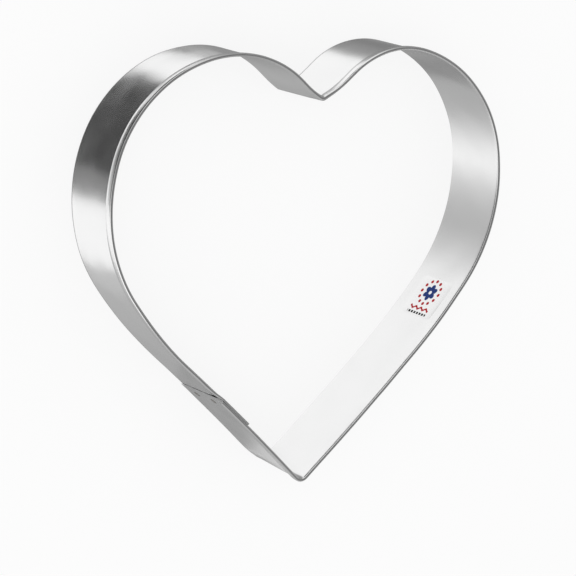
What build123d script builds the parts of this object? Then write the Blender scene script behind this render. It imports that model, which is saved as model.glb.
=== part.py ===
from build123d import *
import math
import os

# A heart-shaped cookie cutter: one strip of tinned steel, bent on edge to a heart.
# Frame: the cutting edge lies on Z = 0 and the hemmed rim is up. The notch points to +Y,
# the tip to -Y, and the origin is under the middle of the heart's outline box.
# All sizes are in millimetres and all angles in degrees.

# Size of the heart, on the middle of the sheet
heart_width = 127.0
notch_to_tip = 107.6

# The strip
cutter_depth = 22.2
sheet_thickness = 0.3

# The hem: the rim is folded outwards and down over itself
fold_gap = 0.5
hem_height = 2.8

# Tight bends at the notch and at the tip, on the middle of the sheet
notch_bend_radius = 1.9
tip_bend_radius = 1.9

# The lap on the lower left side, measured along the side from the tip
inner_end_from_tip = 26.0
lap_length = 11.4
lap_clearance = 0.05

# Spot welds through the lap
weld_diameter = 2.4
weld_dimple = 0.05
weld_from_outer_end = 3.1
lower_weld_height = 4.8
upper_weld_height = 13.5

# The clear label on the inner face of the lower right side
label_length = 13.0
label_height = 14.0
label_thickness = 0.1
label_corner_radius = 1.5
label_below_flank = 1.4
label_middle_height = 11.4

# The outline as bends from the notch down to the waist: each has its radius as a share of
# the heart's width, and its turn. A turn below zero bends the other way, as the shoulder
# beside the notch does. The two halves differ a little, as hand-bent ones do.
right_heading = 27.9
right_bend_shares = (
    (0.354, -15.4),
    (0.198, 58.0),
    (0.296, 65.8),
    (0.383, 45.9),
    (1.414, 8.3),
)
left_heading = 31.9
left_bend_shares = (
    (0.343, -10.8),
    (0.249, 44.1),
    (0.293, 73.7),
    (0.354, 51.1),
    (0.933, 13.3),
)

# Worked out from the sizes above
half_sheet = sheet_thickness / 2
fold_radius = sheet_thickness + fold_gap / 2
hem_outer_face = half_sheet + fold_gap + sheet_thickness
layer_step = sheet_thickness + lap_clearance
outer_end_from_tip = inner_end_from_tip + lap_length


class Bend:
    """One round stretch of the outline on the middle of the sheet, walked in one direction."""

    def __init__(self, start, heading, radius, turn):
        """start is a point, heading the direction there, and turn is counter-clockwise."""
        to_centre = math.copysign(90, turn)
        self.start = start
        self.heading = heading
        self.radius = radius
        self.turn = turn
        self.length = radius * math.radians(abs(turn))
        self.centre = start + step(heading + to_centre, radius)
        self.end = self.centre + step(heading + turn - to_centre, radius)
        self.end_heading = heading + turn

    def stretch(self, first, last):
        """The part of this bend between two distances from its start."""
        turn_per_length = self.turn / self.length
        to_start = self.start - self.centre
        start = self.centre + to_start.rotate(Axis.Z, turn_per_length * first)
        heading = self.heading + turn_per_length * first
        return Bend(start, heading, self.radius, turn_per_length * (last - first))

    def beside(self, offset):
        """The bend that runs beside this one, that far to its right."""
        to_right = math.copysign(offset, self.turn)
        start = self.start + step(self.heading - 90, offset)
        return Bend(start, self.heading, self.radius + to_right, self.turn)

    def draw(self):
        """Adds the bend to the line that is being built."""
        JernArc(self.start, step(self.heading, 1), self.radius, self.turn)


def step(heading, length):
    """The vector of that length in that direction."""
    angle = math.radians(heading)
    return Vector(math.cos(angle), math.sin(angle)) * length


def lobe(notch, heading, bend_shares, side):
    """The bends from the notch to the waist. side is 1 for the right half, -1 for the left."""
    place = notch
    heading = heading if side > 0 else 180 - heading
    bends = []
    for radius_share, turn in bend_shares:
        bends.append(Bend(place, heading, radius_share * heart_width, -side * turn))
        place = bends[-1].end
        heading = bends[-1].end_heading
    return bends


def lower_side(waist, tip, side, inset):
    """The long bend from the waist down, which runs on to pass that far inside the tip."""
    inward = step(waist.end_heading - side * 90, 1)
    to_tip = tip - waist.end
    # The centre lies along inward, and the tip is one radius plus the inset from it
    radius = (to_tip.dot(to_tip) - inset**2) / (2 * (to_tip.dot(inward) + inset))
    from_centre = to_tip - inward * radius
    turn = (inward * -radius).get_signed_angle(from_centre, Vector(0, 0, 1))
    return Bend(waist.end, waist.end_heading, abs(radius), turn)


def heart(notch):
    """The bends of the strip for a notch at that place: all those with a hem, and by itself
    the hemless inner layer of the lap, the layer outside it and the right half's waist."""
    tip = notch - Vector(0, notch_to_tip)
    right = lobe(notch, right_heading, right_bend_shares, 1)
    left = lobe(notch, left_heading, left_bend_shares, -1)
    right_side = lower_side(right[-1], tip, 1, 0)
    left_side = lower_side(left[-1], tip, -1, layer_step)
    outer_end = left_side.length - outer_end_from_tip
    outer_layer = left_side.stretch(outer_end, left_side.length).beside(layer_step)
    inner_lap = left_side.stretch(outer_end - lap_clearance, left_side.length - inner_end_from_tip)
    left_hemmed = left_side.stretch(0, outer_end - lap_clearance)
    hemmed = [outer_layer, right_side, *reversed(right), *left, left_hemmed]
    return hemmed, inner_lap, outer_layer, right[-1]


def bend_corner(line, place, radius):
    """Rounds the sharp corner of the line that lies at that place."""
    fillet(line.vertices().sort_by_distance(place)[0], radius)


# The line round the heart with its notch on the origin, to find the middle of its outline
corner_notch = Vector(0, 0)
with BuildLine() as first_line:
    for bend in heart(corner_notch)[0]:
        bend.draw()
    bend_corner(first_line, corner_notch, notch_bend_radius)
    bend_corner(first_line, corner_notch - Vector(0, notch_to_tip), tip_bend_radius)
outline_middle = first_line.line.bounding_box().center()

# The same line in its place, from the outer end at the lap to where the inner layer begins
notch = corner_notch - outline_middle
tip = notch - Vector(0, notch_to_tip)
hemmed_bends, inner_lap, outer_lap, waist = heart(notch)
with BuildLine() as strip_line:
    for bend in hemmed_bends:
        bend.draw()
    bend_corner(strip_line, notch, notch_bend_radius)
    bend_corner(strip_line, tip, tip_bend_radius)
strip_path = strip_line.wires()[0]

# Square to the path at the outer end, with X outwards and Y up
path_start = outer_lap.start
path_direction = step(outer_lap.heading, 1)
section_plane = Plane(path_start, x_dir=step(outer_lap.heading - 90, 1), z_dir=-path_direction)

# Centres of the two welds, halfway through the lapped layers
weld_along = outer_lap.stretch(0, weld_from_outer_end)
weld_outward = step(weld_along.end_heading - 90, 1)
layers_thickness = sheet_thickness + layer_step
weld_centre = weld_along.end - weld_outward * (layer_step / 2)
weld_planes = [
    Plane(weld_centre + Vector(0, 0, height), z_dir=weld_outward)
    for height in (lower_weld_height, upper_weld_height)
]


with BuildPart() as strip:
    # The wall, the fold over the rim and the flap that hangs down outside
    with BuildSketch(section_plane) as section:
        fold_height = cutter_depth - fold_radius
        fold_middle = half_sheet + fold_gap / 2
        flap_end = cutter_depth - hem_height
        with BuildLine():
            Polyline(
                (half_sheet, fold_height),
                (half_sheet, 0),
                (-half_sheet, 0),
                (-half_sheet, fold_height),
            )
            CenterArc((fold_middle, fold_height), fold_radius, 180, -180)
            Polyline(
                (hem_outer_face, fold_height),
                (hem_outer_face, flap_end),
                (hem_outer_face - sheet_thickness, flap_end),
                (hem_outer_face - sheet_thickness, fold_height),
            )
            CenterArc((fold_middle, fold_height), fold_gap / 2, 0, 180)
        make_face()
    sweep(path=strip_path)
    # The inner end runs on inside the lap, with its hem notched away so that it lies flat
    with BuildSketch() as inner_end:
        with BuildLine():
            inner_lap.draw()
        trace(line_width=sheet_thickness)
    extrude(amount=fold_height)
    # Each weld takes up a round spot of both layers
    for plane in weld_planes:
        with Locations(plane):
            Cylinder(weld_diameter / 2, 2 * layers_thickness, mode=Mode.SUBTRACT)
strip.part.label = "strip"


with BuildPart() as spot_welds:
    # Pressed in a little on both sides
    for plane in weld_planes:
        with Locations(plane):
            Cylinder(weld_diameter / 2, layers_thickness - 2 * weld_dimple)
spot_welds.part.label = "spot_welds"


with BuildPart() as label:
    label_bottom = label_middle_height - label_height / 2
    with BuildSketch(Plane.XY.offset(label_bottom)) as label_edge:
        with BuildLine():
            behind = waist.stretch(label_below_flank, label_below_flank + label_length)
            behind.beside(half_sheet + label_thickness / 2).draw()
        trace(line_width=label_thickness)
    extrude(amount=label_height)
    corners = label.edges().filter_by(lambda edge: edge.length < label_corner_radius)
    fillet(corners, label_corner_radius)
label.part.label = "label"


os.makedirs("parts", exist_ok=True)
for piece in (strip, spot_welds, label):
    export_step(piece.part, f"parts/{piece.part.label}.step")

print("middle of the sheet round the heart", round(strip_path.length + inner_lap.length, 1))
print("outline box", strip.part.bounding_box())
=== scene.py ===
# %% [markdown]
# # A heart-shaped cookie cutter of tinned steel
# The cutter is one strip of tinplate. Its upper edge is folded over into a hem that is
# kind to the hand, its lower edge is left plain to cut, and the strip is bent on edge to a
# heart. Its ends lap on the lower left side and two spot welds hold them. A small clear
# label with a printed motif sticks to the inner face of the lower right side.
#
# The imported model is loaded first. It fixes where everything is, in metres.

# %% Load the frame
import math

import bpy
import numpy as np
from mathutils import Matrix, Vector


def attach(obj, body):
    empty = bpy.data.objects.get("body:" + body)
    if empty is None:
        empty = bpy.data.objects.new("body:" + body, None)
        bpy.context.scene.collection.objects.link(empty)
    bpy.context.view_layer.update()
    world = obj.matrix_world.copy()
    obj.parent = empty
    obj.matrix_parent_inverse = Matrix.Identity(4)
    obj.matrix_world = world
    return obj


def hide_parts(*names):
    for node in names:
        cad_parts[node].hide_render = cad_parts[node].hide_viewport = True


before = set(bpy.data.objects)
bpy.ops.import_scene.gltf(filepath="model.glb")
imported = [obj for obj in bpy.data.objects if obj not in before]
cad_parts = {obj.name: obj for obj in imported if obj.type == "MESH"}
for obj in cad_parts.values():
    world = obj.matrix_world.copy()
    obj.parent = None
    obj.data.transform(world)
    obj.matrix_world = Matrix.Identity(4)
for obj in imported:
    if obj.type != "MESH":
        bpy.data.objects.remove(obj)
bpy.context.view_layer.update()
MM = 0.001
print("packed pieces:", ", ".join(sorted(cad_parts)))

# %% [markdown]
# ## The camera
# The cutter was seen from its upper left, steeply from above and from about a metre away
# with a long lens, and the picture was then turned, so that the heart stands on its tip.
# A camera could be aimed with a constraint. Here its matrix is worked out from four plain
# readings instead: where it looks, from what heading and height, how far away and how far
# it is rolled. Nothing is left to evaluate later, so every render frames it alike.

# %% Camera
view_heading = -20.3
view_elevation = 54.6
view_roll = 110.06
view_distance = 911.7 * MM
view_target = Vector((1.03, -7.8, 10.96)) * MM
lens_length = 203.3
sensor_width = 36.0


def aim(heading, elevation, roll, distance, target):
    """The camera's matrix: it looks at the target along that heading and down by that
    elevation, and is then rolled about its own line of sight. All angles in degrees."""
    turn, tilt = math.radians(heading), math.radians(elevation)
    level = math.cos(tilt)
    forward = Vector((level * math.cos(turn), level * math.sin(turn), -math.sin(tilt)))
    upright = forward.to_track_quat("-Z", "Y").to_matrix().to_4x4()
    rolled = upright @ Matrix.Rotation(math.radians(roll), 4, "Z")
    return Matrix.Translation(target - forward * distance) @ rolled


camera_data = bpy.data.cameras.new("camera")
camera_data.lens = lens_length
camera_data.sensor_width = sensor_width
camera_data.clip_end = 20.0
camera = bpy.data.objects.new("camera", camera_data)
camera.matrix_world = aim(view_heading, view_elevation, view_roll, view_distance, view_target)
bpy.context.collection.objects.link(camera)
bpy.context.scene.camera = camera
bpy.context.scene.view_settings.view_transform = "Standard"
print("camera at", [round(value / MM) for value in camera.matrix_world.translation], "mm")

# %% [markdown]
# ## The line that the strip follows
# A strip bent on edge is a flat line on the table, carried straight up. The line is known
# by how it bends: a list of round stretches, each with its radius and its turn. It could be
# drawn as a curve object with handles, but then its bends would be guesses. Here the
# curvature is written down along the length and summed twice: once it gives the heading,
# and once more the place. Places on the table are complex numbers, because a turn is then
# one multiplication.

# %% Sizes of the strip
heart_width = 127.0 * MM
notch_to_tip = 107.6 * MM
cutter_depth = 22.2 * MM
sheet_thickness = 0.3 * MM
fold_gap = 0.5 * MM
hem_height = 2.8 * MM
corner_radius = 1.9 * MM
inner_end_from_tip = 26.0 * MM
lap_length = 11.4 * MM
lap_clearance = 0.05 * MM
layer_step = sheet_thickness + lap_clearance

right_heading = 27.9
right_bend_shares = ((0.354, -15.4), (0.198, 58.0), (0.296, 65.8), (0.383, 45.9), (1.414, 8.3))
left_heading = 31.9
left_bend_shares = ((0.343, -10.8), (0.249, 44.1), (0.293, 73.7), (0.354, 51.1), (0.933, 13.3))


# %% The bends of each half
def unit(heading):
    """The direction of a heading in radians, as a complex number."""
    return np.exp(1j * heading)


def walk(place, heading, bends):
    """Where a walk along (curvature, length) bends ends, and its heading there: each bend
    adds the chord of its arc, (e^(i heading end) - e^(i heading start)) / (i curvature)."""
    for curvature, length in bends:
        end_heading = heading + curvature * length
        place += (unit(end_heading) - unit(heading)) / (1j * curvature)
        heading = end_heading
    return place, heading


def half(start_heading, bend_shares, side, inset):
    """The bends from the notch at 0 round one lobe and down to the tip, as (curvature,
    length), and the heading at the notch. The last one is the only circle that leaves the
    waist smoothly and passes that far inside the tip. side is 1 for the right half."""
    heading = math.radians(start_heading if side > 0 else 180 - start_heading)
    bends = []
    for share, turn in bend_shares:
        radius = share * heart_width
        bends.append((-side * math.copysign(1 / radius, turn), radius * math.radians(abs(turn))))
    waist, waist_heading = walk(0j, heading, bends)
    inward = unit(waist_heading - side * math.pi / 2)
    to_tip = -1j * notch_to_tip - waist
    across = (to_tip * np.conj(inward)).real
    radius = (abs(to_tip) ** 2 - inset**2) / (2 * (across + inset))
    turn = np.angle((to_tip - inward * radius) / (-inward * radius))
    bends.append((np.sign(turn) / abs(radius), abs(radius * turn)))
    return bends, heading


# %% The whole line, from the outer end at the lap to the inner end
def corner(turn, before, after):
    """A tight bend in place of a sharp corner, and how much of its two neighbours it takes
    up: radius * tan(turn / 2) on each side. It also makes the turns that they lose."""
    trim = corner_radius * math.tan(abs(turn) / 2)
    turn += (before[0] + after[0]) * trim
    radius = trim / math.tan(abs(turn) / 2)
    return (math.copysign(1 / radius, turn), radius * abs(turn)), trim


def between(heading, next_heading):
    """The turn from one heading to the next, in radians, the short way round."""
    return np.angle(unit(next_heading - heading))


def shorter(bend, at_start, at_end):
    """The bend without so much of its start and its end."""
    return bend[0], bend[1] - at_start - at_end


right, right_start = half(right_heading, right_bend_shares, 1, 0)
left, left_start = half(left_heading, left_bend_shares, -1, layer_step)
left_side_curvature, left_side_length = left[-1]
side_start, side_heading = walk(0j, left_start, left[:-1])
outer_end_along = left_side_length - inner_end_from_tip - lap_length
to_outer_end = (left_side_curvature, outer_end_along)
outer_place, outer_heading = walk(side_start, side_heading, [to_outer_end])
start_place = outer_place - 1j * unit(outer_heading) * layer_step
outer_radius = 1 / left_side_curvature + layer_step
inner_length = left_side_length - outer_end_along
outer_layer = (1 / outer_radius, inner_length * outer_radius * left_side_curvature)
up_right = [(-curvature, length) for curvature, length in reversed(right)]
tip_heading = outer_heading + outer_layer[0] * outer_layer[1]
right_end_heading = right_start + sum(curvature * length for curvature, length in right)
tip_turn = between(tip_heading, right_end_heading + math.pi)
notch_turn = between(right_start + math.pi, left_start)
tip_corner, tip_trim = corner(tip_turn, outer_layer, up_right[0])
notch_corner, notch_trim = corner(notch_turn, up_right[-1], left[0])
stretches = [
    shorter(outer_layer, 0, tip_trim),
    tip_corner,
    shorter(up_right[0], tip_trim, 0),
    *up_right[1:-1],
    shorter(up_right[-1], 0, notch_trim),
    notch_corner,
    shorter(left[0], notch_trim, 0),
    *left[1:-1],
    shorter(left[-1], 0, inner_end_from_tip),
]
curvatures = np.array([curvature for curvature, length in stretches])
stretch_ends = np.cumsum([0.0] + [length for curvature, length in stretches])
strip_length = stretch_ends[-1]
print("length of the strip in mm:", round(strip_length / MM, 2))
corner_turns = [round(math.degrees(turn), 1) for turn in (tip_turn, notch_turn)]
print("turns at the tip and the notch in degrees:", corner_turns)

# %% Sum the curvature to headings and places
# Springy sheet never changes its bend at once, so the curvature is blurred a little.
fine_step = 0.05 * MM
bend_blur = 7.0 * MM
corner_blur = 1.2 * MM


def blurred(values, width):
    """Averages along the length with a window shaped like one wave of a cosine."""
    count = int(width / fine_step) | 1
    window = np.hanning(count + 2)[1:-1]
    padded = np.pad(values, count // 2, mode="edge")
    return np.convolve(padded, window / window.sum(), mode="valid")


def bend_per_cell(chosen):
    """The curvature of each short cell: the turn summed along the chosen stretches, read at
    the cell's two ends, divided by its length."""
    turns = np.where(chosen, curvatures, 0.0) * np.diff(stretch_ends)
    summed = np.interp(cell_ends, stretch_ends, np.concatenate([[0.0], np.cumsum(turns)]))
    return np.diff(summed) / cell


cell_count = round(strip_length / fine_step)
cell_ends = np.linspace(0.0, strip_length, cell_count + 1)
cell = cell_ends[1]
is_corner = np.isin(np.arange(len(stretches)), [1, 2 + len(up_right)])
curvature = blurred(bend_per_cell(~is_corner), bend_blur)
curvature = curvature + blurred(bend_per_cell(is_corner), corner_blur)
heading_along = outer_heading + np.concatenate([[0.0], np.cumsum(curvature)]) * cell
steps = unit((heading_along[:-1] + heading_along[1:]) / 2) * cell
line = start_place + np.concatenate([[0.0], np.cumsum(steps)])
line -= complex(line.real.min() + line.real.max(), line.imag.min() + line.imag.max()) / 2
print("the line reaches, in mm:", round(line.real.max() / MM, 2), round(line.imag.max() / MM, 2))

# %% [markdown]
# ## Helpers for colours, nodes and meshes
# Colours are written as the hex values that a screen shows. Blender's shaders work with
# light itself, so one function turns them linear. One more adds a node with its settings
# and links, and one puts arrays of points and faces into a mesh.

# %% Colours and nodes
def linear(hex_colour):
    """An sRGB hex colour as linear light: ((c + 0.055) / 1.055) ^ 2.4, and c / 12.92 near
    black."""
    parts = [int(hex_colour[place:place + 2], 16) / 255 for place in (1, 3, 5)]
    light = [((c + 0.055) / 1.055) ** 2.4 if c > 0.04045 else c / 12.92 for c in parts]
    return (*light, 1.0)


def add(tree, kind, settings=None, inputs=None):
    """Adds a node. Settings are its own properties. An input is a value, or a socket to link."""
    node = tree.nodes.new(kind)
    for name, value in (settings or {}).items():
        setattr(node, name, value)
    for name, value in (inputs or {}).items():
        if isinstance(value, bpy.types.NodeSocket):
            tree.links.new(value, node.inputs[name])
        else:
            node.inputs[name].default_value = value
    return node


def new_material(name):
    """An empty material by that name and its node tree."""
    material = bpy.data.materials.new(name)
    material.use_nodes = True
    material.node_tree.nodes.clear()
    return material, material.node_tree


# %% Meshes
crease_angle = math.radians(40)


def new_piece(name, points, faces, material, uv=None, cut_edge_and_shade=None):
    """A mesh object at the origin, with smooth faces that crease where they meet at more
    than the crease angle. uv and cut_edge_and_shade hold one row or number for each point.
    The volume it prints is a sixth of the sum of a . (b x c) over its triangles a, b, c,
    which is above zero where the faces point outwards."""
    halves = np.concatenate([faces[:, [0, 1, 2]], faces[:, [0, 2, 3]]])
    a, b, c = (points[halves[:, corner]] for corner in range(3))
    volume = np.sum(a * np.cross(b, c)) / 6
    mesh = bpy.data.meshes.new(name)
    mesh.vertices.add(len(points))
    mesh.vertices.foreach_set("co", points.ravel())
    mesh.loops.add(faces.size)
    mesh.loops.foreach_set("vertex_index", faces.ravel())
    mesh.polygons.add(len(faces))
    mesh.polygons.foreach_set("loop_start", np.arange(0, faces.size, faces.shape[1]))
    mesh.update(calc_edges=True)
    mesh.polygons.foreach_set("use_smooth", np.ones(len(faces), dtype=bool))
    mesh.set_sharp_from_angle(angle=crease_angle)
    if uv is not None:
        mesh.uv_layers.new(name="flat_map").data.foreach_set("uv", uv[faces.ravel()].ravel())
    if cut_edge_and_shade is not None:
        mesh.attributes.new("cut_edge_and_shade", "FLOAT", "POINT").data.foreach_set("value", cut_edge_and_shade)
    mesh.materials.append(material)
    piece = bpy.data.objects.new(name, mesh)
    bpy.context.collection.objects.link(piece)
    print(name, "has", len(points), "points, volume", round(volume / MM**3, 2), "cubic mm")
    return piece


# %% [markdown]
# ## Tinplate
# The strip is tinplate: cold-rolled steel sheet with a thin bright coat of tin. Rolling
# leaves fine lines along the sheet, so its reflections are soft and are drawn out across
# the lines, which gives the long bands of light and dark. Where the sheet was sheared, bare
# steel shows, darker and rougher. Along the foot of the outer face that dark is also painted
# shade. An image of brushed metal would tile and blur. Here long thin noise follows the
# strip's own map, whose sides are its real length and height.

# %% Material of the strip
# Rolling lines are finer than a pixel here, so they are drawn as coarse as they need to show.
rolling_line_length = 12.0 * MM
rolling_line_width = 0.7 * MM
rolling_line_depth = 0.005 * MM
rolling_line_dullness = 0.03
cloud_size = 9.0 * MM
dent_depth = 0.05 * MM
# The darkest colour is the dull steel of the sheared edges, and also painted shade along the foot of
# the outer face.
dull_tin, bright_tin, bare_steel_and_shade = "#ebebeb", "#f0f0f0", "#5d5e60"
smooth_tin, handled_tin, sheared_steel = 0.16, 0.22, 0.5
brushed_share = 0.4


def tinplate():
    """Bright tin with rolling lines and faint clouds of handling, which bend and blur what
    it mirrors a little. At its sheared edges it is dull steel with no tin, and along the foot
    of the outer face that dark is also painted shade: together they give the thin dark line
    along the cutting edge."""
    material, tree = new_material("tinplate")
    place = add(tree, "ShaderNodeUVMap", {"uv_map": "flat_map"})
    lines_place = add(tree, "ShaderNodeMapping", None, {
        "Vector": place.outputs[0],
        "Scale": (1 / rolling_line_length, 1 / rolling_line_width, 1.0)})
    lines = add(tree, "ShaderNodeTexNoise", None, {
        "Vector": lines_place.outputs[0], "Scale": 1.0, "Detail": 1.0})
    clouds_place = add(tree, "ShaderNodeMapping", None, {
        "Vector": place.outputs[0], "Scale": (1 / cloud_size, 1 / cloud_size, 1.0)})
    clouds = add(tree, "ShaderNodeTexNoise", None, {
        "Vector": clouds_place.outputs[0], "Scale": 1.0, "Detail": 2.0})
    # This attribute marks the sheared edges, and a band of painted shade along the foot of the outer
    # face.
    cut_and_shade = add(tree, "ShaderNodeAttribute", {"attribute_name": "cut_edge_and_shade"})
    tin = add(tree, "ShaderNodeMix", {"data_type": "RGBA"}, {
        "Factor": clouds.outputs[0], 6: linear(dull_tin), 7: linear(bright_tin)})
    colour = add(tree, "ShaderNodeMix", {"data_type": "RGBA"}, {
        "Factor": cut_and_shade.outputs["Fac"], 6: tin.outputs[2], 7: linear(bare_steel_and_shade)})
    gloss = add(tree, "ShaderNodeMapRange", None, {
        "Value": clouds.outputs[0], "From Min": 0.3, "From Max": 0.7,
        "To Min": smooth_tin, "To Max": handled_tin})
    streaked = add(tree, "ShaderNodeMath", {"operation": "MULTIPLY_ADD"}, {
        0: lines.outputs[0], 1: rolling_line_dullness, 2: gloss.outputs[0]})
    rough = add(tree, "ShaderNodeMix", {"data_type": "FLOAT"}, {
        "Factor": cut_and_shade.outputs["Fac"], 2: streaked.outputs[0], 3: sheared_steel})
    dents = add(tree, "ShaderNodeBump", None, {
        "Strength": 0.5, "Distance": dent_depth, "Height": clouds.outputs[0]})
    bump = add(tree, "ShaderNodeBump", None, {
        "Strength": 0.4, "Distance": rolling_line_depth, "Height": lines.outputs[0],
        "Normal": dents.outputs[0]})
    tangent = add(tree, "ShaderNodeTangent", {"direction_type": "UV_MAP", "uv_map": "flat_map"})
    shader = add(tree, "ShaderNodeBsdfPrincipled", None, {
        "Base Color": colour.outputs[2], "Metallic": 1.0, "Roughness": rough.outputs[0],
        "Anisotropic": brushed_share, "Tangent": tangent.outputs[0], "Normal": bump.outputs[0]})
    add(tree, "ShaderNodeOutputMaterial", None, {"Surface": shader.outputs[0]})
    return material


# %% [markdown]
# ## The strip
# The hem could be a separate tube along the rim, but on the real cutter it is the same
# sheet: it goes up the wall, over the fold and down again outside. So the sheet's middle is
# one surface of two parameters, the distance along the strip and the distance up and over
# the fold, and the sheet's two faces lie half a thickness to each side of it.

# %% Stations along the strip
# They lie closer together where the line bends, so that no step turns too far at once.
station_spacing = 0.6 * MM
station_turn = math.radians(3)
end_rim = 0.06 * MM
per_metre = 1 / station_spacing + np.abs(np.concatenate([[curvature[0]], curvature])) / station_turn
station_number = np.concatenate([[0.0], np.cumsum((per_metre[:-1] + per_metre[1:]) / 2) * cell])
station_count = int(station_number[-1])
along = np.interp(np.linspace(0, station_number[-1], station_count), station_number, cell_ends)
along = np.concatenate([[0.0, end_rim], along[1:-1], [strip_length - end_rim, strip_length]])
print("stations along the strip:", len(along))

# %% How the sheet departs from a plain bent strip
# Each wave has its length along the strip, its size, and how far it slants as it goes up.
lap_start = strip_length - lap_length
flattening_length = 7.0 * MM
spare_room = 0.03 * MM
tucked_in = sheet_thickness - lap_clearance + spare_room
weld_heights = (4.8 * MM, 13.5 * MM)
weld_from_outer_end = 3.1 * MM
weld_diameter = 2.4 * MM
dimple_depth = 0.06 * MM
waves = ((13.0 * MM, 0.008 * MM, 0.9), (21.0 * MM, 0.015 * MM, -1.3), (34.0 * MM, 0.022 * MM, 0.6))
crown_height = 1.3 * MM
crown_lean = 0.04 * MM
end_spring = 0.06 * MM
end_spring_length = 2.2 * MM
notch_along = stretch_ends[2 + len(up_right)]
notch_squeeze = 0.1 * MM
notch_squeeze_length = 4.0 * MM
notch_squeeze_depth = 3 * hem_height
tip_along = (stretch_ends[1] + stretch_ends[2]) / 2
tip_easing = 0.8 * MM
tip_easing_length = 4.0 * MM


def smooth_step(values, first, last):
    """0 before first, 1 after last, and 3 t^2 - 2 t^3 between them."""
    t = np.clip((values - first) / (last - first), 0, 1)
    return t * t * (3 - 2 * t)


def sheet_shift(along, height):
    """How far outwards the sheet lies from its line: slow waves from bending by hand, a
    crown that leans out to the fold, an outer end that springs away a little, a hem that
    is squeezed out where the notch folds it, a tip that is rounder at the cutting edge than
    at the hem, a dimple at each weld, and the pressed inner end, which lies further in."""
    shift = 0 * along * height
    for length, size, slant in waves:
        shift = shift + size * np.sin(2 * np.pi * (along + slant * height) / length)
    shift = shift * smooth_step(along, 0, lap_length)
    shift = shift * smooth_step(lap_start - along, 0, lap_length)
    tuck = smooth_step(along, lap_start - flattening_length / 2, lap_start + lap_clearance)
    tuck = tuck * smooth_step(height, weld_heights[1], cutter_depth - hem_height)
    crown = crown_lean * smooth_step(height, cutter_depth - crown_height, cutter_depth)
    spring = end_spring * np.clip(1 - along / end_spring_length, 0, 1) ** 2
    squeeze = notch_squeeze * np.exp(-((along - notch_along) / notch_squeeze_length) ** 2)
    squeeze_start = cutter_depth - notch_squeeze_depth
    squeeze = squeeze * smooth_step(height, squeeze_start, cutter_depth - hem_height)
    easing = tip_easing * np.exp(-((along - tip_along) / tip_easing_length) ** 2)
    easing = easing * (1 - smooth_step(height, 0, cutter_depth - hem_height))
    shift = shift - tucked_in * tuck + crown + spring + squeeze - easing
    for middle in (weld_from_outer_end, lap_start + weld_from_outer_end):
        inside = 1.0 if middle > lap_start else -1.0
        for weld_height in weld_heights:
            away = np.hypot(along - middle, height - weld_height) / (weld_diameter / 2)
            shift = shift + inside * dimple_depth * np.exp(-away**2)
    return shift


# %% A place on the bent sheet
def on_sheet(along, height, out):
    """The place so far along the strip, so high, and so far outwards from the middle of the
    sheet, as it is bent and shifted there. Along, up and out are a right-handed set."""
    flat = np.interp(along, cell_ends, line.real) + 1j * np.interp(along, cell_ends, line.imag)
    outward = -1j * unit(np.interp(along, cell_ends, heading_along))
    flat = flat + outward * (out + sheet_shift(along, height))
    return np.stack([flat.real, flat.imag, height + 0 * flat.real], axis=-1)


# %% One ring of points for each station
# Rows go up the wall as shares of its height, closer at the cutting edge and under the
# fold, then round the fold as angles, and down the flap as shares of its height.
edge_rows = [0, 0.006, 0.015, 0.03, 0.06]
wall_rows = np.concatenate([edge_rows, np.linspace(0.1, 0.9, 17), np.linspace(0.91, 1, 8)])
fold_rows = np.linspace(math.pi, 0, 13)
flap_rows = np.linspace(0, 1, 9)
edge_round = 0.04 * MM
crown_room = crown_lean + spare_room
flap_closing = 0.5
notch_opening = 0.3 * MM


def strip_rings():
    """A closed ring of points for each station. The middle of the sheet goes up the wall,
    round a half circle of radius (gap + thickness) / 2 and down the flap, which closes a
    part of the gap by t^2, so that the hem has the section of a drop."""
    pressed_flat = smooth_step(along, lap_start - flattening_length, lap_start)
    gap = (fold_gap - crown_room) * (1 - pressed_flat)
    gap = gap + notch_opening * np.exp(-((along - notch_along) / notch_squeeze_length) ** 2)
    gap = gap[:, None]
    fold = (gap + sheet_thickness) / 2
    fold_height = cutter_depth - fold - sheet_thickness / 2
    wall_up = edge_round + wall_rows * (fold_height - edge_round)
    flap_end = cutter_depth - hem_height + edge_round
    flap_down = fold_height - flap_rows * (fold_height - flap_end)
    closing = flap_closing * gap
    flap_out = 2 * fold - closing * flap_rows**2
    out = np.hstack([0 * wall_up, fold * (1 + np.cos(fold_rows)), flap_out])
    up = np.hstack([wall_up, fold_height + fold * np.sin(fold_rows), flap_down])
    slope = 2 * closing * flap_rows / (fold_height - flap_end)
    side_out = np.hstack([1 + 0 * wall_up, -np.cos(fold_rows) + 0 * fold, -1 / np.hypot(1, slope)])
    side_up = np.hstack([0 * wall_up, -np.sin(fold_rows) + 0 * fold, slope / np.hypot(1, slope)])
    half_sheet = sheet_thickness / 2
    flat = half_sheet - edge_round
    face_out, face_up = out - half_sheet * side_out, up - half_sheet * side_up
    back_out, back_up = out + half_sheet * side_out, up + half_sheet * side_up
    ends_out = out[:, -1:] + np.array([[flat, -flat]])
    ends_up = up[:, -1:] - edge_round + np.zeros((1, 2))
    starts_out = np.array([[flat, -flat]]) + 0 * gap
    starts_up = np.zeros((1, 2)) + 0 * gap
    ring_out = np.hstack([face_out, ends_out, back_out[:, ::-1], starts_out])
    ring_up = np.hstack([face_up, ends_up, back_up[:, ::-1], starts_up])
    return on_sheet(along[:, None], ring_up, ring_out)


rings = strip_rings()
ring_size = rings.shape[1]
print("points round the sheet at each station:", ring_size)


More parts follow.
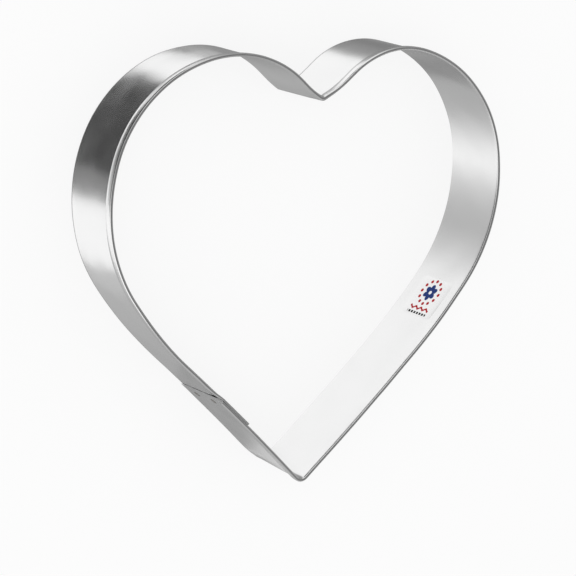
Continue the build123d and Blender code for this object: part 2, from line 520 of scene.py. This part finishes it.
# %% Faces between the rings
def strip_faces(stations, ring):
    """Quads between neighbouring rings, and between the sheet's two faces at both ends."""
    station, point = np.meshgrid(np.arange(stations - 1), np.arange(ring), indexing="ij")
    after = (point + 1) % ring
    quads = np.stack([station * ring + point, station * ring + after,
                      (station + 1) * ring + after, (station + 1) * ring + point], axis=2)
    rows = (ring - 4) // 2
    face = np.concatenate([[ring - 1], np.arange(rows + 1)])
    back = np.concatenate([[ring - 2], np.arange(2 * rows + 1, rows, -1)])
    cap = np.stack([face[:-1], back[:-1], back[1:], face[1:]], axis=1)
    last_cap = cap[:, ::-1] + (stations - 1) * ring
    return np.concatenate([quads.reshape(-1, 4), cap, last_cap])


strip_quads = strip_faces(len(along), ring_size)
print("faces of the strip:", len(strip_quads))

# %% The strip with its flat map, its bare edges and painted shade at its foot
# The map is the sheet laid flat: its real length, and the climb up and over the fold. Bare
# steel shows at the flap's end and at the cutting edge below. A little way up its outer
# face the dark band is bare steel and painted shade. The strip's two ends are bare in part.
bare_and_shaded_below, tinned_above = 0.1 * MM, 0.4 * MM
bare_share_at_ends = 0.3
rows = (ring_size - 4) // 2
climb = np.concatenate([[0.0], np.cumsum(np.linalg.norm(np.diff(rings[0], axis=0), axis=1))])
developed = np.concatenate([climb[:rows], [climb[rows - 1]] * 2, climb[:rows][::-1], [0.0, 0.0]])
strip_uv = np.stack(np.broadcast_arrays(along[:, None], developed[None, :]), axis=2).reshape(-1, 2)
# Dark along the foot of the outer face: bare steel, and painted shade.
bare_and_shade = np.interp(rings[0, :, 2], (bare_and_shaded_below, tinned_above), (1.0, 0.0))
bare_and_shade[:rows] = 0.0
bare_and_shade[[rows, rows + 1]] = 1.0
strip_bare_and_shade = np.broadcast_to(bare_and_shade, (len(along), ring_size)).copy()
strip_bare_and_shade[[0, -1]] = bare_share_at_ends
strip = new_piece("tinned_strip", rings.reshape(-1, 3), strip_quads, tinplate(), strip_uv,
                  strip_bare_and_shade.ravel())
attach(strip, "root")
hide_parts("strip")

# %% [markdown]
# ## Thin pieces that lie on the sheet
# The weld nuggets and the label are thin plates with round corners that follow the bent
# sheet. A subdivided plane shrink-wrapped to the strip would do, but it leaves an open
# mesh. Here one square grid is drawn to the plate's outline, laid on the sheet twice, once
# for each face, and closed round its rim.

# %% Plates with round corners
nearly_zero = 1e-12


def rounded_grid(middle, half_size, corner_round, count):
    """How far along and how high each point of a grid lies, and its share of the way from
    the middle to the rim. The rim is a core rectangle with corner_round added all round."""
    ticks = np.linspace(-1, 1, count)
    square = np.stack(np.meshgrid(ticks, ticks, indexing="ij"), axis=2)
    share = np.abs(square).max(axis=2)
    rim = square / np.maximum(share, nearly_zero)[..., None] * half_size
    core = np.clip(rim, corner_round - half_size, half_size - corner_round)
    spoke = rim - core
    spoke = spoke / np.maximum(np.linalg.norm(spoke, axis=2, keepdims=True), nearly_zero)
    flat = middle + share[..., None] * (core + corner_round * spoke)
    return flat[..., 0], flat[..., 1], share


def closed_between(outer, inner):
    """Points and faces of the solid between two grids of points, joined round their rims."""
    count = len(outer)
    number = np.arange(count * count).reshape(count, count)
    quads = [number[:-1, :-1], number[1:, :-1], number[1:, 1:], number[:-1, 1:]]
    quads = np.stack(quads, axis=2).reshape(-1, 4)
    rim = [number[:-1, 0], number[-1, :-1], number[:0:-1, -1], number[0, :0:-1]]
    rim = np.concatenate(rim)
    after = np.roll(rim, -1)
    sides = np.stack([rim + count**2, after + count**2, after, rim], axis=1)
    points = np.concatenate([outer.reshape(-1, 3), inner.reshape(-1, 3)])
    return points, np.concatenate([quads, quads[:, ::-1] + count**2, sides])


# %% [markdown]
# ## The weld nuggets
# A spot welder clamps the two layers between copper tips and melts a round spot of both.
# It leaves two shallow dents, duller than the tin and tinted by the heat round their rims.
# A painted disc would have no dent, so each nugget is a solid that reaches through both
# layers and just fills the floor of the dimple in each face, with its rim sunk in the tin.

# %% Material of the welds
# The grain is finer on a real weld, so it is drawn as coarse as it needs to show. The heat
# tints lie at those shares of the way from the middle to the rim.
grain_size = 0.25 * MM
grain_depth = 0.02 * MM
grain_in_tint = 0.3
weld_grey, rim_blue = "#b4b1ad", "#6b6d73"
heat_browns = ((0.6, "#9c968d"), (0.85, "#7b7268"))
weld_roughness = 0.34


def weld_metal():
    """Steel that was molten: grey and grainy, with a brown and blue ring of heat tint."""
    material, tree = new_material("weld_metal")
    flat = add(tree, "ShaderNodeUVMap", {"uv_map": "flat_map"})
    radius = add(tree, "ShaderNodeVectorMath", {"operation": "LENGTH"}, {0: flat.outputs[0]})
    share = add(tree, "ShaderNodeMapRange", None, {
        "Value": radius.outputs["Value"], "From Max": weld_diameter / 2})
    grain_place = add(tree, "ShaderNodeMapping", None, {
        "Vector": flat.outputs[0], "Scale": (1 / grain_size, 1 / grain_size, 1.0)})
    grain = add(tree, "ShaderNodeTexNoise", None, {
        "Vector": grain_place.outputs[0], "Scale": 1.0, "Detail": 3.0})
    uneven = add(tree, "ShaderNodeMath", {"operation": "MULTIPLY_ADD"}, {
        0: grain.outputs[0], 1: grain_in_tint, 2: share.outputs[0]})
    tint = add(tree, "ShaderNodeValToRGB", None, {0: uneven.outputs[0]})
    tint.color_ramp.elements[0].color = linear(weld_grey)
    tint.color_ramp.elements[1].color = linear(rim_blue)
    for way_out, brown in heat_browns:
        tint.color_ramp.elements.new(way_out).color = linear(brown)
    bump = add(tree, "ShaderNodeBump", None, {
        "Strength": 0.5, "Distance": grain_depth, "Height": grain.outputs[0]})
    shader = add(tree, "ShaderNodeBsdfPrincipled", None, {
        "Base Color": tint.outputs[0], "Metallic": 1.0, "Roughness": weld_roughness,
        "Normal": bump.outputs[0]})
    add(tree, "ShaderNodeOutputMaterial", None, {"Surface": shader.outputs[0]})
    return material


# %% Two nuggets through both layers of the lap
nugget_proud = 0.012 * MM
nugget_rim_drop = 0.024 * MM
weld_radius = weld_diameter / 2
weld_points, weld_faces, weld_uv = [], [], []
for weld_height in weld_heights:
    middle = np.array([weld_from_outer_end, weld_height])
    along_at, height, share = rounded_grid(middle, np.full(2, weld_radius), weld_radius, 25)
    face = sheet_thickness / 2 + nugget_proud - nugget_rim_drop * share**6
    outer_face = on_sheet(along_at, height, face)
    inner_face = on_sheet(lap_start + along_at, height, -face)
    points, faces = closed_between(outer_face, inner_face)
    weld_faces.append(faces + sum(len(earlier) for earlier in weld_points))
    weld_points.append(points)
    weld_uv += [np.stack([along_at, height], axis=2).reshape(-1, 2) - middle] * 2
welds = new_piece("weld_nuggets", np.concatenate(weld_points), np.concatenate(weld_faces),
                  weld_metal(), np.concatenate(weld_uv))
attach(welds, "root")
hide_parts("spot_welds")

# %% [markdown]
# ## The label
# A small clear film sticks to the inner face of the lower right side. Ink lies on it only
# where it is printed, and elsewhere the tin shows through. Its print is a plain ornament:
# a blue rosette in a ring of red beads, beside a wavy red line and a dotted rule. The print
# could be cut out as raised shapes, but ink has no height, so it is drawn in the material
# from plain formulas of the place on the film, in millimetres.

# %% The rosette and its beads
# Sizes of the print are in millimetres, from the middle of the film: the first axis runs
# along the strip, and the second one up.
rosette_place = (1.7, 0, 0)
petal_radius, petal_swell, dot_radius = 1.75, 0.95, 0.6
bead_count, bead_circle, bead_radius = 12, 3.9, 0.55


def rosette_and_beads(tree, in_mm):
    """1 on the rosette and 0 off it, and the same for the beads. The rosette's edge lies at
    petal radius + petal swell * |cos 3 t|, and a clear dot is left in its middle."""
    spoke = add(tree, "ShaderNodeVectorMath", {"operation": "SUBTRACT"}, {
        0: in_mm.outputs[0], 1: rosette_place})
    spoke_axes = add(tree, "ShaderNodeSeparateXYZ", None, {0: spoke.outputs[0]})
    radius = add(tree, "ShaderNodeVectorMath", {"operation": "LENGTH"}, {0: spoke.outputs[0]})
    turn = add(tree, "ShaderNodeMath", {"operation": "ARCTAN2"}, {
        0: spoke_axes.outputs[1], 1: spoke_axes.outputs[0]})
    thrice = add(tree, "ShaderNodeMath", {"operation": "MULTIPLY"}, {0: turn.outputs[0], 1: 3.0})
    cosine = add(tree, "ShaderNodeMath", {"operation": "COSINE"}, {0: thrice.outputs[0]})
    swell = add(tree, "ShaderNodeMath", {"operation": "ABSOLUTE"}, {0: cosine.outputs[0]})
    petal_edge = add(tree, "ShaderNodeMath", {"operation": "MULTIPLY_ADD"}, {
        0: swell.outputs[0], 1: petal_swell, 2: petal_radius})
    in_petals = add(tree, "ShaderNodeMath", {"operation": "LESS_THAN"}, {
        0: radius.outputs["Value"], 1: petal_edge.outputs[0]})
    off_dot = add(tree, "ShaderNodeMath", {"operation": "GREATER_THAN"}, {
        0: radius.outputs["Value"], 1: dot_radius})
    rosette = add(tree, "ShaderNodeMath", {"operation": "MULTIPLY"}, {
        0: in_petals.outputs[0], 1: off_dot.outputs[0]})
    # Wrapped to one bead's share of the circle, every bead lies on the axis
    bead_turn = add(tree, "ShaderNodeMath", {"operation": "WRAP"}, {
        0: turn.outputs[0], 1: math.pi / bead_count, 2: -math.pi / bead_count})
    bead_side = add(tree, "ShaderNodeMath", {"operation": "MULTIPLY"}, {
        0: bead_turn.outputs[0], 1: bead_circle})
    bead_out = add(tree, "ShaderNodeMath", {"operation": "SUBTRACT"}, {
        0: radius.outputs["Value"], 1: bead_circle})
    bead_spoke = add(tree, "ShaderNodeCombineXYZ", None, {
        0: bead_side.outputs[0], 1: bead_out.outputs[0]})
    off_bead = add(tree, "ShaderNodeVectorMath", {"operation": "LENGTH"}, {
        0: bead_spoke.outputs[0]})
    beads = add(tree, "ShaderNodeMath", {"operation": "LESS_THAN"}, {
        0: off_bead.outputs["Value"], 1: bead_radius})
    return rosette, beads


# %% The wavy line and the dotted rule
wave_place, wave_half_height, wave_length, wave_half_width = -3.9, 0.35, 2.4, 0.36
rule_place, rule_half_width, rule_dot_spacing, rule_dot_length = -5.5, 0.38, 1.26, 0.85
half_line_length = 4.4


def wave_and_rule(tree, in_mm):
    """1 on the wavy line and 0 off it, and the same for the dotted rule. The wavy line lies
    at wave place + wave half height * sin(2 pi up / wave length)."""
    axes = add(tree, "ShaderNodeSeparateXYZ", None, {0: in_mm.outputs[0]})
    in_length = add(tree, "ShaderNodeMath", {"operation": "COMPARE"}, {
        0: axes.outputs[1], 1: 0.0, 2: half_line_length})
    phase = add(tree, "ShaderNodeMath", {"operation": "MULTIPLY"}, {
        0: axes.outputs[1], 1: 2 * math.pi / wave_length})
    sine = add(tree, "ShaderNodeMath", {"operation": "SINE"}, {0: phase.outputs[0]})
    wave = add(tree, "ShaderNodeMath", {"operation": "MULTIPLY_ADD"}, {
        0: sine.outputs[0], 1: wave_half_height, 2: wave_place})
    near_wave = add(tree, "ShaderNodeMath", {"operation": "COMPARE"}, {
        0: axes.outputs[0], 1: wave.outputs[0], 2: wave_half_width})
    wavy_line = add(tree, "ShaderNodeMath", {"operation": "MULTIPLY"}, {
        0: near_wave.outputs[0], 1: in_length.outputs[0]})
    near_rule = add(tree, "ShaderNodeMath", {"operation": "COMPARE"}, {
        0: axes.outputs[0], 1: rule_place, 2: rule_half_width})
    dot_phase = add(tree, "ShaderNodeMath", {"operation": "WRAP"}, {
        0: axes.outputs[1], 1: rule_dot_spacing, 2: 0.0})
    in_dot = add(tree, "ShaderNodeMath", {"operation": "LESS_THAN"}, {
        0: dot_phase.outputs[0], 1: rule_dot_length})
    dots = add(tree, "ShaderNodeMath", {"operation": "MULTIPLY"}, {
        0: near_rule.outputs[0], 1: in_dot.outputs[0]})
    rule = add(tree, "ShaderNodeMath", {"operation": "MULTIPLY"}, {
        0: dots.outputs[0], 1: in_length.outputs[0]})
    return wavy_line, rule


# %% Material of the label
speckles_per_mm = 3.0
blue_inks = ("#0d2a70", "#1f4490")
red_inks = ("#b81a26", "#d02c34")
dark_ink = "#202020"
tin_under_film = "#ededed"
glossy_film, matt_ink = 0.2, 0.6
ink_shine = 0.25


def printed_film():
    """Clear film over tin, which mirrors as the tin does, and matt, slightly uneven ink
    where a motif is printed, which gives small flat spots of colour."""
    material, tree = new_material("printed_film")
    flat = add(tree, "ShaderNodeUVMap", {"uv_map": "flat_map"})
    in_mm = add(tree, "ShaderNodeMapping", None, {
        "Vector": flat.outputs[0], "Scale": (1 / MM, 1 / MM, 1.0)})
    rosette, beads = rosette_and_beads(tree, in_mm)
    wavy_line, rule = wave_and_rule(tree, in_mm)
    red = add(tree, "ShaderNodeMath", {"operation": "MAXIMUM"}, {
        0: beads.outputs[0], 1: wavy_line.outputs[0]})
    speckle = add(tree, "ShaderNodeTexNoise", None, {
        "Vector": in_mm.outputs[0], "Scale": speckles_per_mm, "Detail": 3.0})
    blue_ink = add(tree, "ShaderNodeMix", {"data_type": "RGBA"}, {
        "Factor": speckle.outputs[0], 6: linear(blue_inks[0]), 7: linear(blue_inks[1])})
    red_ink = add(tree, "ShaderNodeMix", {"data_type": "RGBA"}, {
        "Factor": speckle.outputs[0], 6: linear(red_inks[0]), 7: linear(red_inks[1])})
    with_blue = add(tree, "ShaderNodeMix", {"data_type": "RGBA"}, {
        "Factor": rosette.outputs[0], 6: linear(tin_under_film), 7: blue_ink.outputs[2]})
    with_red = add(tree, "ShaderNodeMix", {"data_type": "RGBA"}, {
        "Factor": red.outputs[0], 6: with_blue.outputs[2], 7: red_ink.outputs[2]})
    colour = add(tree, "ShaderNodeMix", {"data_type": "RGBA"}, {
        "Factor": rule.outputs[0], 6: with_red.outputs[2], 7: linear(dark_ink)})
    coloured = add(tree, "ShaderNodeMath", {"operation": "MAXIMUM"}, {
        0: rosette.outputs[0], 1: red.outputs[0]})
    ink = add(tree, "ShaderNodeMath", {"operation": "MAXIMUM"}, {
        0: coloured.outputs[0], 1: rule.outputs[0]})
    clear = add(tree, "ShaderNodeMath", {"operation": "SUBTRACT"}, {0: 1.0, 1: ink.outputs[0]})
    rough = add(tree, "ShaderNodeMix", {"data_type": "FLOAT"}, {
        "Factor": ink.outputs[0], 2: glossy_film, 3: matt_ink})
    tangent = add(tree, "ShaderNodeTangent", {"direction_type": "UV_MAP", "uv_map": "flat_map"})
    shader = add(tree, "ShaderNodeBsdfPrincipled", None, {
        "Base Color": colour.outputs[2], "Metallic": clear.outputs[0], "Roughness": rough.outputs[0],
        "Anisotropic": brushed_share, "Tangent": tangent.outputs[0],
        "Specular IOR Level": ink_shine})
    add(tree, "ShaderNodeOutputMaterial", None, {"Surface": shader.outputs[0]})
    return material


# %% The label on the inner face
label_size = np.array([13.0, 14.0]) * MM
label_thickness = 0.1 * MM
label_rim_thinning = 0.95
label_corner_radius = 1.5 * MM
label_below_flank = 1.4 * MM
label_middle_height = 11.4 * MM
flank_along = stretch_ends[4]
label_middle_along = flank_along - label_below_flank - label_size[0] / 2
label_middle = np.array([label_middle_along, label_middle_height])
along_at, height, share = rounded_grid(label_middle, label_size / 2, label_corner_radius, 41)
film = label_thickness * (1 - label_rim_thinning * share**5)
film_back = on_sheet(along_at, height, -sheet_thickness / 2)
film_front = on_sheet(along_at, height, -sheet_thickness / 2 - film)
label_uv = np.stack([along_at, height], axis=2).reshape(-1, 2) - label_middle
points, faces = closed_between(film_back, film_front)
both_uv = np.concatenate([label_uv, label_uv])
label = new_piece("printed_label", points, faces, printed_film(), both_uv)
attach(label, "root")
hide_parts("label")

# %% [markdown]
# ## The studio
# The floor is pale and plain, and a softbox above it lights it softly. A wall of sheet
# metal has no look of its own: it shows what stands round it. Seen from so high up, every
# wall mirrors what lies below and beside it, so the cutter stands as on a glass table. Round
# it are greys by heading, over it a darker ceiling and under it a bright ground. Cards lie
# below the table, two slope up from there on the left, and one stands beside it. The dark
# slope gives the left lobe its black band. All of that is there for mirror rays alone, which
# go through the floor to reach it, and every other ray sees an even white tent. A painted
# panorama could do the same, but it is hard to read and to change, while each grey here has
# its heading, and each card its place.

# %% Greys round the horizon, over the table and under it
# Each grey round the horizon has its heading in degrees from the +X axis. The ceiling and
# the ground begin and are full at those heights of a ray, from -1 straight down to 1.
horizon_greys = (
    (-180, "#c0c0c0"), (-169, "#d2d2d2"), (-154, "#f9f9f9"), (-137, "#dcdcdc"), (-129, "#cccccc"),
    (-115, "#afafaf"), (-97, "#a9a9a9"), (-78, "#ababab"), (-71, "#a9a9a9"), (-65, "#a0a0a0"),
    (-58, "#a2a2a2"), (-38, "#919191"), (-18, "#8c8c8c"), (8, "#8c8c8c"), (38, "#868686"),
    (58, "#8e8e8e"), (68, "#a5a5a5"), (80, "#d4d4d4"), (95, "#eeeeee"), (110, "#f4f4f4"),
    (122, "#f3f3f3"), (129, "#e7e7e7"), (145, "#cacaca"), (160, "#b0b0b0"), (175, "#b8b8b8"),
    (180, "#c0c0c0"),
)
ceiling_grey, ceiling_start, ceiling_full = "#666666", 0.5, 0.85
ground_grey, ground_start, ground_full = "#f0f0f0", -0.95, -0.99
print("greys round the horizon:", len(horizon_greys))

# %% World
card_strength = 1.2
tent_strength = 0.85
world = bpy.data.worlds.new("studio")
bpy.context.scene.world = world
world.use_nodes = True
sky = world.node_tree
sky.nodes.clear()
direction = add(sky, "ShaderNodeTexCoord")
axes = add(sky, "ShaderNodeSeparateXYZ", None, {0: direction.outputs["Generated"]})
heading = add(sky, "ShaderNodeMath", {"operation": "ARCTAN2"}, {
    0: axes.outputs["Y"], 1: axes.outputs["X"]})
round_share = add(sky, "ShaderNodeMapRange", None, {
    "Value": heading.outputs[0], "From Min": -math.pi, "From Max": math.pi})
horizon = add(sky, "ShaderNodeValToRGB", None, {0: round_share.outputs[0]})
stops = horizon.color_ramp.elements
for degrees, grey in horizon_greys:
    share = 0.5 + degrees / 360
    stop = stops[0] if share == 0 else stops[-1] if share == 1 else stops.new(share)
    stop.color = linear(grey)
above = add(sky, "ShaderNodeMapRange", {"interpolation_type": "SMOOTHSTEP"}, {
    "Value": axes.outputs["Z"], "From Min": ceiling_start, "From Max": ceiling_full})
with_ceiling = add(sky, "ShaderNodeMix", {"data_type": "RGBA"}, {
    "Factor": above.outputs[0], 6: horizon.outputs[0], 7: linear(ceiling_grey)})
below = add(sky, "ShaderNodeMapRange", {"interpolation_type": "SMOOTHSTEP"}, {
    "Value": axes.outputs["Z"], "From Min": ground_start, "From Max": ground_full})
with_ground = add(sky, "ShaderNodeMix", {"data_type": "RGBA"}, {
    "Factor": below.outputs[0], 6: with_ceiling.outputs[2], 7: linear(ground_grey)})
studio = add(sky, "ShaderNodeBackground", None, {
    "Color": with_ground.outputs[2], "Strength": card_strength})
tent = add(sky, "ShaderNodeBackground", None, {
    "Color": linear("#ffffff"), "Strength": tent_strength})
ray = add(sky, "ShaderNodeLightPath")
seen = add(sky, "ShaderNodeMixShader", None, {
    0: ray.outputs["Is Glossy Ray"], 1: tent.outputs[0], 2: studio.outputs[0]})
add(sky, "ShaderNodeOutputWorld", None, {"Surface": seen.outputs[0]})
print("nodes of the studio:", len(sky.nodes))


# %% Cards below the table, and one beside it
# How high the near and the far edge of a card lie, in mm
level = (-150, -150)
sloping = (-150, 120)
upright = (-20, 130)


def mirror_card(name, near, far, tone, heights=level):
    """A card for mirror rays alone, between a near and a far edge. Both are given as places
    on the table in mm, and heights says how high each one lies."""
    paint, tree = new_material(name)
    glow = add(tree, "ShaderNodeEmission", None, {
        "Color": linear(tone), "Strength": card_strength})
    add(tree, "ShaderNodeOutputMaterial", None, {"Surface": glow.outputs[0]})
    first = np.arange(len(near) - 1)
    quads = np.stack([first, first + 1, first + 1 + len(near), first + len(near)], axis=1)
    places = [(*place, heights[0]) for place in near] + [(*place, heights[1]) for place in far]
    card = new_piece(name, np.array(places) * MM, quads, paint)
    for rays in ("camera", "diffuse", "transmission", "shadow"):
        setattr(card, f"visible_{rays}", False)


mirror_card("dark_card", [(-44, 148), (-80, 118), (-124, 68), (-140, 30)],
            [(-44, 330), (-180, 300), (-330, 150), (-360, 30)], "#424242", sloping)
mirror_card("grey_card_left", [(-140, 30), (-137, -8)], [(-360, 30), (-360, -30)], "#7c7c7c",
            sloping)
mirror_card("bright_card_above", [(-30, 128), (48, 128)], [(-30, 200), (58, 200)], "#f7f7f7")
mirror_card("bright_card_left", [(-85, -25), (-90, -100)], [(-160, -12), (-155, -115)], "#f7f7f7")
mirror_card("pale_card_left", [(-86, -86), (-54, -92)], [(-104, -128), (-50, -132)], "#bcbcbc")
mirror_card("grey_card_right", [(72, -40), (84, -100)], [(170, -20), (190, -80)], "#888888")
mirror_card("pale_card_above", [(48, 112), (72, 94)], [(54, 146), (68, 130)], "#b4b4b4")
mirror_card("bright_card_beside", [(-152, -6), (-142, -74), (-96, -134)],
            [(-152, -6), (-142, -74), (-96, -134)], "#f7f7f7", upright)
mirror_card("grey_card_back", [(112, 90), (102, 116)], [(164, 78), (142, 152)], "#7a7a7a")
mirror_card("grey_card_tip", [(38, -110), (56, -145)], [(12, -132), (41, -158)], "#8f8f8f")
mirror_card("bright_card_tip", [(46, -156), (60, -147)], [(70, -215), (110, -200)], "#dadada")

# %% Floor
# The floor is matt and pale. For the camera it glows as well, so that it shows nearly
# white, and that glow lights nothing.
floor_reach = 4.0
floor_grey = "#f4f4f4"
floor_glow_share = 0.84
floor_paint, tree = new_material("floor_paint")
paint = add(tree, "ShaderNodeBsdfDiffuse", None, {"Color": linear(floor_grey)})
glow = add(tree, "ShaderNodeEmission", None, {"Color": linear("#ffffff"), "Strength": 1.0})
ray = add(tree, "ShaderNodeLightPath")
glow_share = add(tree, "ShaderNodeMath", {"operation": "MULTIPLY"}, {
    0: ray.outputs["Is Camera Ray"], 1: floor_glow_share})
both = add(tree, "ShaderNodeMixShader", None, {
    0: glow_share.outputs[0], 1: paint.outputs[0], 2: glow.outputs[0]})
add(tree, "ShaderNodeOutputMaterial", None, {"Surface": both.outputs[0]})
floor_corners = np.array([[-1, -1, 0], [1, -1, 0], [1, 1, 0], [-1, 1, 0]]) * floor_reach
floor = new_piece("floor", floor_corners, np.array([[0, 1, 2, 3]]), floor_paint)
floor.visible_glossy = False

# %% Softbox
# Its lengths are in metres and its radiance in W / (m^2 sr). Its power is the radiance
# times pi times its area.
lamp_width, lamp_height = 0.9, 0.6
lamp_place = (-0.6, 0.1, 1.05)
lamp_radiance = 0.9
lamp_data = bpy.data.lights.new("softbox", "AREA")
lamp_data.shape = "RECTANGLE"
lamp_data.size, lamp_data.size_y = lamp_width, lamp_height
lamp_data.energy = lamp_radiance * math.pi * lamp_width * lamp_height
lamp = bpy.data.objects.new("softbox", lamp_data)
lamp.location = lamp_place
lamp.rotation_euler = (-lamp.location).to_track_quat("-Z", "Y").to_euler()
lamp.visible_glossy = False
bpy.context.collection.objects.link(lamp)
print("softbox of", round(lamp_data.energy, 2), "W at", lamp_place, "m")
